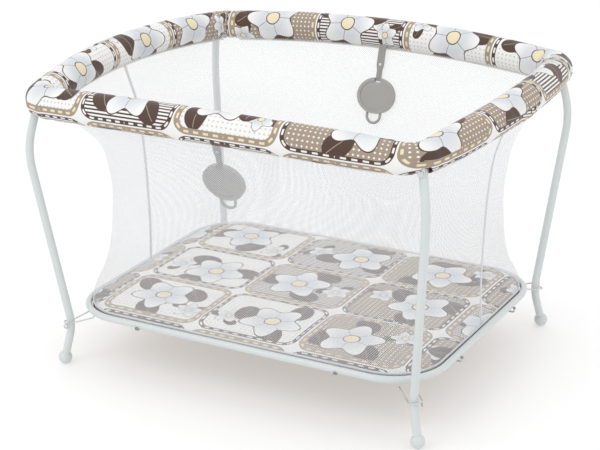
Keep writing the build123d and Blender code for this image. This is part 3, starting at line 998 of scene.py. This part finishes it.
# ---- the mat ---------------------------------------------------------------------------------------
def rounded_outline(half_x, half_y, radius, z, steps=16):
    """A rounded rectangle, anticlockwise."""
    points = []
    for cx, cy, start in ((1, 1, 0), (-1, 1, 90), (-1, -1, 180), (1, -1, 270)):
        for a in np.radians(np.linspace(start, start + 90, steps)):
            points.append((cx * (half_x - radius) + radius * math.cos(a),
                           cy * (half_y - radius) + radius * math.sin(a), z))
    return np.array(points)


def inset_of(points, half_x, half_y, radius):
    """How far each point lies inside a rounded rectangle."""
    x, y = np.abs(points[:, 0]), np.abs(points[:, 1])
    cx, cy = x - (half_x - radius), y - (half_y - radius)
    round_gap = radius - np.hypot(np.maximum(cx, 0), np.maximum(cy, 0))
    return np.where((cx > 0) & (cy > 0), round_gap, np.minimum(half_x - x, half_y - y))


def build_mat():
    """The padded mat in its printed cover, with a soft edge and lumps in its filling."""
    settings = bpy.context.scene.playpen_mat
    low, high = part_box("floor_mat")
    half_x, half_y = high.x + MAT_SPREAD, high.y + MAT_SPREAD
    work = bmesh.new()
    outline = rounded_outline(half_x, half_y, MAT_CORNER, low.z + 0.001)
    extruded(outline, high.z - low.z - 0.004, work)
    piece = link("floor_pad", finished_mesh("floor_pad", work))
    remesh = piece.modifiers.new("Voxels", "REMESH")
    remesh.mode = "VOXEL"
    remesh.voxel_size = settings.voxel
    applied(piece)
    points = np.array([v.co for v in piece.data.vertices])
    away = inset_of(points, half_x, half_y, MAT_CORNER)
    height = np.clip((points[:, 2] - low.z) / (high.z - low.z), 0, 1)
    points[:, 2] -= MAT_FALL * np.exp(-np.maximum(away, 0) / MAT_EDGE) * height
    x, y = points[:, 0], points[:, 1]
    lumps = ripple(x * 17 + 2 * ripple(y * 11, 4), 6) * ripple(y * 19, 9)
    points[:, 2] += 0.0011 * lumps * height * np.clip(away / 0.03, 0, 1)
    set_points(piece, points)
    pinned = np.nonzero((points[:, 2] < low.z + 0.006) | (away < 0.004))[0]
    inflated(piece, pinned, 2.5, 8, settings.swell)
    points = np.array([v.co for v in piece.data.vertices])
    points[:, 2] = np.clip(points[:, 2], low.z + 0.0002, high.z + 0.002)
    set_points(piece, points)
    piece.data.materials.clear()
    piece.data.materials.append(printed_cloth("Printed mat", "Object", (0.125, 0.1, 0)))
    piece.data.shade_smooth()
    subdivided(piece)
    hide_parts("floor_mat")
    settled(piece, "floor")


# ---- net walls ---------------------------------------------------------------------------------------
def net_profile(z):
    """The net's half length, half width, bows and corner radius at a height, smooth between rows."""
    table = np.array(NET_ROWS)
    values = table[:, 1:].copy()
    values[:, 2:4] = 1 / values[:, 2:4]
    slope = np.gradient(values, table[:, 0], axis=0)
    k = int(np.clip(np.searchsorted(table[:, 0], z) - 1, 0, len(table) - 2))
    span = table[k + 1, 0] - table[k, 0]
    t = (z - table[k, 0]) / span
    mix = ((2 * t**3 - 3 * t**2 + 1) * values[k] + (t**3 - 2 * t**2 + t) * span * slope[k]
           + (3 * t**2 - 2 * t**3) * values[k + 1] + (t**3 - t**2) * span * slope[k + 1])
    return mix[0], mix[1], 1 / mix[2], 1 / mix[3], mix[4]


def net_loop(z, side, count, out=0.0):
    """Half a loop of the net at a height, from -X to +X along the front or the back."""
    half_x, half_y, long_r, short_r, corner_r = net_profile(z)
    quarter, _ = bowed_quarter(half_x + out, half_y + out, long_r, short_r, corner_r + out)
    left = quarter * np.array([-1, side])
    right = (quarter * np.array([1, side]))[::-1]
    points, _ = spaced(np.concatenate([left, right]), count)
    return np.column_stack([points, np.full(count, z)])


def net_surface(side, across, heights):
    """Rows of the net from its hem up to the roll, as points and metric UVs."""
    rows = np.stack([net_loop(z, side, across) for z in heights], 1)
    path, _, _, _ = roll_frame(900)
    # the top follows the underside of the roll: each column stops where it meets the roll
    for i in range(across):
        gap = np.linalg.norm(rows[i, :, None] - path[None], axis=2).min(1) - (ROLL_R - 0.001)
        inside = np.nonzero(gap < 0)[0]
        if len(inside):
            k = max(inside[0], 1)
            t = gap[k - 1] / (gap[k - 1] - gap[k])
            meet = (k - 1 + t) / (len(heights) - 1)
            at = np.linspace(0, meet, len(heights)) * (len(heights) - 1)
            column = rows[i].copy()
            for axis in range(3):
                rows[i, :, axis] = np.interp(at, np.arange(len(heights)), column[:, axis])
    u = np.linalg.norm(np.diff(rows, axis=0), axis=2)
    u = np.vstack([np.zeros(len(heights)), np.cumsum(u, 0)])
    middle = u[across // 2].mean()
    u = np.tile(u.mean(1)[:, None], (1, len(heights))) - middle
    v = np.linalg.norm(np.diff(rows, axis=1), axis=2)
    v = np.hstack([np.zeros((across, 1)), np.cumsum(v, 1)])
    return rows, np.stack([u, v], 2)


def net_wall(name, side, heights, net):
    """One net wall, drawn tight between hem and roll, with slight pulls along its height."""
    rows, uvs = net_surface(side, NET_ACROSS, heights)
    run = np.abs(uvs[..., 0])
    pull = 0.0009 * ripple(run * 16, 2) * np.sin(np.linspace(0, math.pi, len(heights)))[None]
    normal = rows[..., :2] / np.linalg.norm(rows[..., :2], axis=2, keepdims=True)
    rows[..., :2] -= pull[..., None] * normal
    wall = grid_object(f"net_{name}", rows, uvs, material=net)
    if side > 0:
        wall.data.flip_normals()
    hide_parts(f"net_wall_{name}")
    return wall, (float(np.ptp(uvs[..., 0])), float(uvs[..., 1].max()))


def net_hem(name, side, width, tape):
    """The hem tape, folded round the lower edge, and its stitches."""
    low = NET_ROWS[0][0]
    levels = np.array([low - 0.0008, low + width * 0.5, low + width])
    faces = []
    for z_order, out in ((levels, HEM_HALF), (levels[::-1], -HEM_HALF)):
        face = np.stack([net_loop(max(z, low), side, NET_ACROSS, out) for z in z_order], 1)
        face[..., 2] = z_order
        faces.append(face)
    hem = grid_object(f"net_hem_{name}", np.concatenate(faces, 1), None, False, True, tape)
    closed_ends(hem)
    hem.data.shade_smooth()
    line = net_loop(low + width * 0.75, side, NET_ACROSS, HEM_HALF + 0.0002)
    return hem, stitched_line(f"net_hem_stitches_{name}", line, False, tape, 0.005, 0.0034, 0.0004)


def net_seam(name, line, tape):
    """The upright tape over the join of the two net walls, at one short side."""
    ring = ((SEAM_HALF, -SEAM_WIDTH), (SEAM_HALF, SEAM_WIDTH),
            (-SEAM_HALF, SEAM_WIDTH), (-SEAM_HALF, -SEAM_WIDTH))
    rows = np.array([[(x + d, w, z) for d, w in ring] for x, _, z in line])
    return closed_ends(grid_object(f"net_seam_{name}", rows, None, False, True, tape))


def build_net():
    """The net walls with their hems and seams."""
    settings = bpy.context.scene.playpen_net
    net = net_material()
    tape = plain_cloth("Net tape", tuple(settings.tint))
    heights = np.linspace(NET_ROWS[0][0] + 0.001, NET_ROWS[-1][0], NET_UP)
    pieces, sheets = [], []
    for name, side in SIDES.items():
        wall, flat = net_wall(name, side, heights, net)
        hem, stitches = net_hem(name, side, settings.tape, tape)
        area = sum(p.area for p in wall.data.polygons)
        sheets.append((wall, flat, min(area, flat[0] * flat[1]), [hem, stitches]))
        pieces += [wall, hem, stitches]
    rows, _ = net_surface(-1, NET_ACROSS, heights)
    pieces += [net_seam("left", rows[0], tape), net_seam("right", rows[-1], tape)]
    for piece in pieces:
        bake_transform(piece)


# ---- straps -------------------------------------------------------------------------------------------
STRAP_SECTION = (  # share of the half width, height
    (-1, 0.0005), (-0.985, 0.0008), (-0.9, 0.00075), (0, 0.00065), (0.9, 0.00075), (0.985, 0.0008),
    (1, 0.0005), (1, -0.0005), (0.985, -0.0008), (0, -0.00065), (-0.985, -0.0008), (-1, -0.0005),
)
STRAP_SEAM = ((-0.0055, 0.030), (0.0055, 0.030), (0.0055, 0.038), (-0.0055, 0.038))  # across, along


def build_strap(name, side, webbing, thread):
    """One webbing strap, which narrows towards its grip, with a sewn box on both faces."""
    root = np.array([0.0, side * STRAP_ROOT[0], STRAP_ROOT[1]])
    down = np.array([0.0, -side * math.sin(STRAP_LEAN), -math.cos(STRAP_LEAN)])
    face = np.array([0.0, -side * math.cos(STRAP_LEAN), math.sin(STRAP_LEAN)])
    run = np.linspace(STRAP_START, STRAP_END, 60)
    narrow = np.clip((run - TAPER_START) / TAPER_RUN, 0, 1)
    half = STRAP_HALF - STRAP_TAPER * (narrow**2 * (3 - 2 * narrow))
    bend = 0.0006 * np.sin(run * 60.0)
    rows = np.array([
        [root + down * s + face * (t + b) + np.array([w * h, 0, 0]) for w, t in STRAP_SECTION]
        for s, h, b in zip(run, half, bend)
    ])
    across = np.array([w for w, _ in STRAP_SECTION] + [STRAP_SECTION[0][0]])
    uvs = np.meshgrid(np.append(run, run[-1]), across * STRAP_HALF, indexing="ij")
    uvs = np.stack(uvs, 2)[..., ::-1]
    strap = closed_ends(grid_object(f"webbing_strap_{name}", rows, uvs, False, True, webbing))
    strap.data.shade_smooth()
    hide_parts(f"pull_strap_{name}")
    settled(strap, f"grip_{name}")
    for face_name, lift in (("in", 0.0011), ("out", -0.0011)):
        corners = [root + down * s + face * lift + np.array([x, 0, 0]) for x, s in STRAP_SEAM]
        line, _ = spaced(np.array(corners), 40, True, axes=3)
        row_name = f"strap_stitches_{face_name}_{name}"
        row = stitched_line(row_name, line, True, thread, 0.0028, 0.002, 0.00035)
        settled(row, f"grip_{name}")


def build_straps():
    """Both straps, in grey webbing with grey thread."""
    webbing = webbing_material()
    thread = plain_cloth("Grey thread", (0.42, 0.41, 0.39, 1), pitch=0.0003)
    for name, side in SIDES.items():
        build_strap(name, side, webbing, thread)


# ---- finishes of the frame ------------------------------------------------------------------------------
def finish_frame():
    """Paint, plastic, board, vinyl and zinc for the nodes that keep the frame's own shapes."""
    colours = bpy.context.scene.playpen_finish
    paint = grained(
        "Powder coat", tuple(colours.paint), 0.36, 1300.0, 0.00008, 0.03, 0.05, Coat_Weight=0.25
    )
    feet = grained("Moulded foot", tuple(colours.paint), 0.30, 700.0, 0.00006, 0.03)
    grip = grained("Grey moulding", tuple(colours.plastic), 0.45, 1100.0, 0.00015, 0.06)
    board = grained("Hardboard", (0.33, 0.22, 0.13, 1), 0.62, 420.0, 0.0003, 0.2)
    tips = grained("Dipped vinyl", (0.24, 0.24, 0.24, 1), 0.4, 600.0, 0.0001, 0.1)
    zinc = zinc_material()
    finish_nodes(["top_frame_tube", "floor_frame"] + [f"leg_{c}" for c in CORNERS], paint)
    finish_nodes([f"foot_{c}" for c in CORNERS], feet)
    finish_nodes(["floor_board"], board)
    finish_nodes(["wire_end_caps"], tips)
    finish_nodes(["pull_grip_front", "pull_grip_back"], grip)
    finish_nodes(
        ["leg_pivot_pins", "cross_wire_left", "cross_wire_right", "long_wire_front", "long_wire_back",
         "strap_rivet_front", "strap_rivet_back"]
        + [f"leg_bracket_{c}" for c in CORNERS]
        + [f"latch_{kind}_{c}" for kind in ("hook", "bar") for c in CORNERS],
        zinc,
    )


# ---- stage -----------------------------------------------------------------------------------------------
CAMERA_AT = (1.7095, -3.1151, 1.6365)
CAMERA_AZIMUTH = 0.506301
CAMERA_ELEVATION = 0.361282
CAMERA_ROLL = -0.0125223
CAMERA_LENS = 100.84
FLOOR_TONE = (0.57, 0.57, 0.57, 1)
FLOOR_HALF = 12
LAMPS = (  # name, place, size, power
    ("key", (-1.6, -3.0, 3.2), 2.6, 34.0),
    ("fill", (3.2, -1.6, 2.4), 2.4, 9.0),
    ("top", (0.2, 0.6, 3.4), 3.0, 9.0),
)


def build_camera():
    """A long lens, turned slightly about its axis."""
    az, el = CAMERA_AZIMUTH, CAMERA_ELEVATION
    back = Vector((math.sin(az) * math.cos(el), -math.cos(az) * math.cos(el), math.sin(el)))
    right = Vector((math.cos(az), math.sin(az), 0))
    up = back.cross(right)
    c, s = math.cos(CAMERA_ROLL), math.sin(CAMERA_ROLL)
    turned = Matrix((c * right + s * up, -s * right + c * up, back)).transposed()
    data = bpy.data.cameras.new("camera")
    data.lens, data.sensor_width = CAMERA_LENS, 36.0
    data.clip_end = 60.0
    camera = bpy.data.objects.new("camera", data)
    camera.matrix_world = Matrix.Translation(CAMERA_AT) @ turned.to_4x4()
    bpy.context.scene.collection.objects.link(camera)
    bpy.context.scene.camera = camera


def build_floor():
    """A pale floor, lit from below too, so that shadows stay pale."""
    mesh = bpy.data.meshes.new("studio_floor")
    h = FLOOR_HALF
    mesh.from_pydata([(-h, -h, 0), (h, -h, 0), (h, h, 0), (-h, h, 0)], [], [(0, 1, 2, 3)])
    floor, tree, shader = new_material(
        "Pale floor", FLOOR_TONE, 0.6, Emission_Color=(1.0, 1.0, 1.0, 1), Emission_Strength=0.38
    )
    at = coordinates(tree, "Object")
    tone = noise(tree, at, 3.0) * 0.01 + 0.99
    tree.links.new(shaded(tree, FLOOR_TONE, tone.socket), shader.inputs["Base Color"])
    link("studio_floor", mesh, floor)


def build_lights():
    """An even white room and three soft lamps that aim at the middle of the pen."""
    scene = bpy.context.scene
    world = bpy.data.worlds.new("Studio")
    scene.world = world
    world.use_nodes = True
    background = world.node_tree.nodes["Background"]
    background.inputs["Color"].default_value = (1.0, 1.0, 1.0, 1)
    background.inputs["Strength"].default_value = 1.0
    scene.view_settings.view_transform = "Standard"
    aim = Vector((0, 0, 0.35))
    for name, place, size, power in LAMPS:
        light = bpy.data.lights.new(name, "AREA")
        light.size, light.energy = size, power
        lamp = bpy.data.objects.new(name, light)
        lamp.location = place
        lamp.rotation_euler = (aim - Vector(place)).to_track_quat("-Z", "Y").to_euler()
        scene.collection.objects.link(lamp)


# ---- operators and panel -----------------------------------------------------------------------------------
class PlaypenStep:
    """What the operators share: each calls its own build functions in order."""

    bl_options = {"REGISTER", "UNDO"}
    steps = ()

    def execute(self, context):
        for step in self.steps:
            step()
        return {"FINISHED"}


class PLAYPEN_OT_patterns(PlaypenStep, bpy.types.Operator):
    """Build the shader groups: print, weaves, net and grain"""

    bl_idname = "playpen.patterns"
    bl_label = "Patterns"
    steps = (build_patchwork, build_weave, build_knit_net, build_grain, build_webbing_weave)


class PLAYPEN_OT_frame(PlaypenStep, bpy.types.Operator):
    """Give the tubes, wires, feet and grips their finishes"""

    bl_idname = "playpen.frame"
    bl_label = "Frame finishes"
    steps = (finish_frame,)


class PLAYPEN_OT_roll(PlaypenStep, bpy.types.Operator):
    """Make the padded, printed roll and its seam"""

    bl_idname = "playpen.roll"
    bl_label = "Padded roll"
    steps = (build_roll, build_roll_seam)


class PLAYPEN_OT_mat(PlaypenStep, bpy.types.Operator):
    """Make the padded, printed floor mat"""

    bl_idname = "playpen.mat"
    bl_label = "Floor mat"
    steps = (build_mat,)


class PLAYPEN_OT_net(PlaypenStep, bpy.types.Operator):
    """Make the net walls with their hems and seams"""

    bl_idname = "playpen.net"
    bl_label = "Net walls"
    steps = (build_net,)


class PLAYPEN_OT_straps(PlaypenStep, bpy.types.Operator):
    """Make the webbing straps of the grips"""

    bl_idname = "playpen.straps"
    bl_label = "Straps"
    steps = (build_straps,)


class PLAYPEN_OT_stage(PlaypenStep, bpy.types.Operator):
    """Make the camera, floor and soft lights"""

    bl_idname = "playpen.stage"
    bl_label = "Stage"
    steps = (build_camera, build_floor, build_lights)


STEPS = (
    PLAYPEN_OT_patterns, PLAYPEN_OT_frame, PLAYPEN_OT_stage, PLAYPEN_OT_roll,
    PLAYPEN_OT_mat, PLAYPEN_OT_net, PLAYPEN_OT_straps,
)
GROUPS = {
    "playpen_print": PrintSettings,
    "playpen_roll": RollSettings,
    "playpen_mat": MatSettings,
    "playpen_net": NetSettings,
    "playpen_finish": FinishSettings,
}


class PLAYPEN_PT_panel(bpy.types.Panel):
    """Lists the playpen's steps and settings"""

    bl_idname = "PLAYPEN_PT_panel"
    bl_label = "Playpen"
    bl_space_type = "VIEW_3D"
    bl_region_type = "UI"
    bl_category = "Playpen"

    def draw(self, context):
        for step in STEPS:
            self.layout.operator(step.bl_idname)
        for key, group in GROUPS.items():
            box = self.layout.box()
            for setting in group.__annotations__:
                box.prop(getattr(context.scene, key), setting)


def register():
    for kind in (*GROUPS.values(), *STEPS, PLAYPEN_PT_panel):
        bpy.utils.register_class(kind)
    for key, group in GROUPS.items():
        setattr(bpy.types.Scene, key, PointerProperty(type=group))


def unregister():
    for key in GROUPS:
        delattr(bpy.types.Scene, key)
    for kind in (PLAYPEN_PT_panel, *STEPS[::-1], *list(GROUPS.values())[::-1]):
        bpy.utils.unregister_class(kind)


def main():
    register()
    bpy.ops.playpen.patterns()
    bpy.ops.playpen.frame()
    bpy.ops.playpen.stage()
    bpy.ops.playpen.roll()
    bpy.ops.playpen.mat()
    bpy.ops.playpen.net()
    bpy.ops.playpen.straps()


if __name__ == "__main__":
    main()
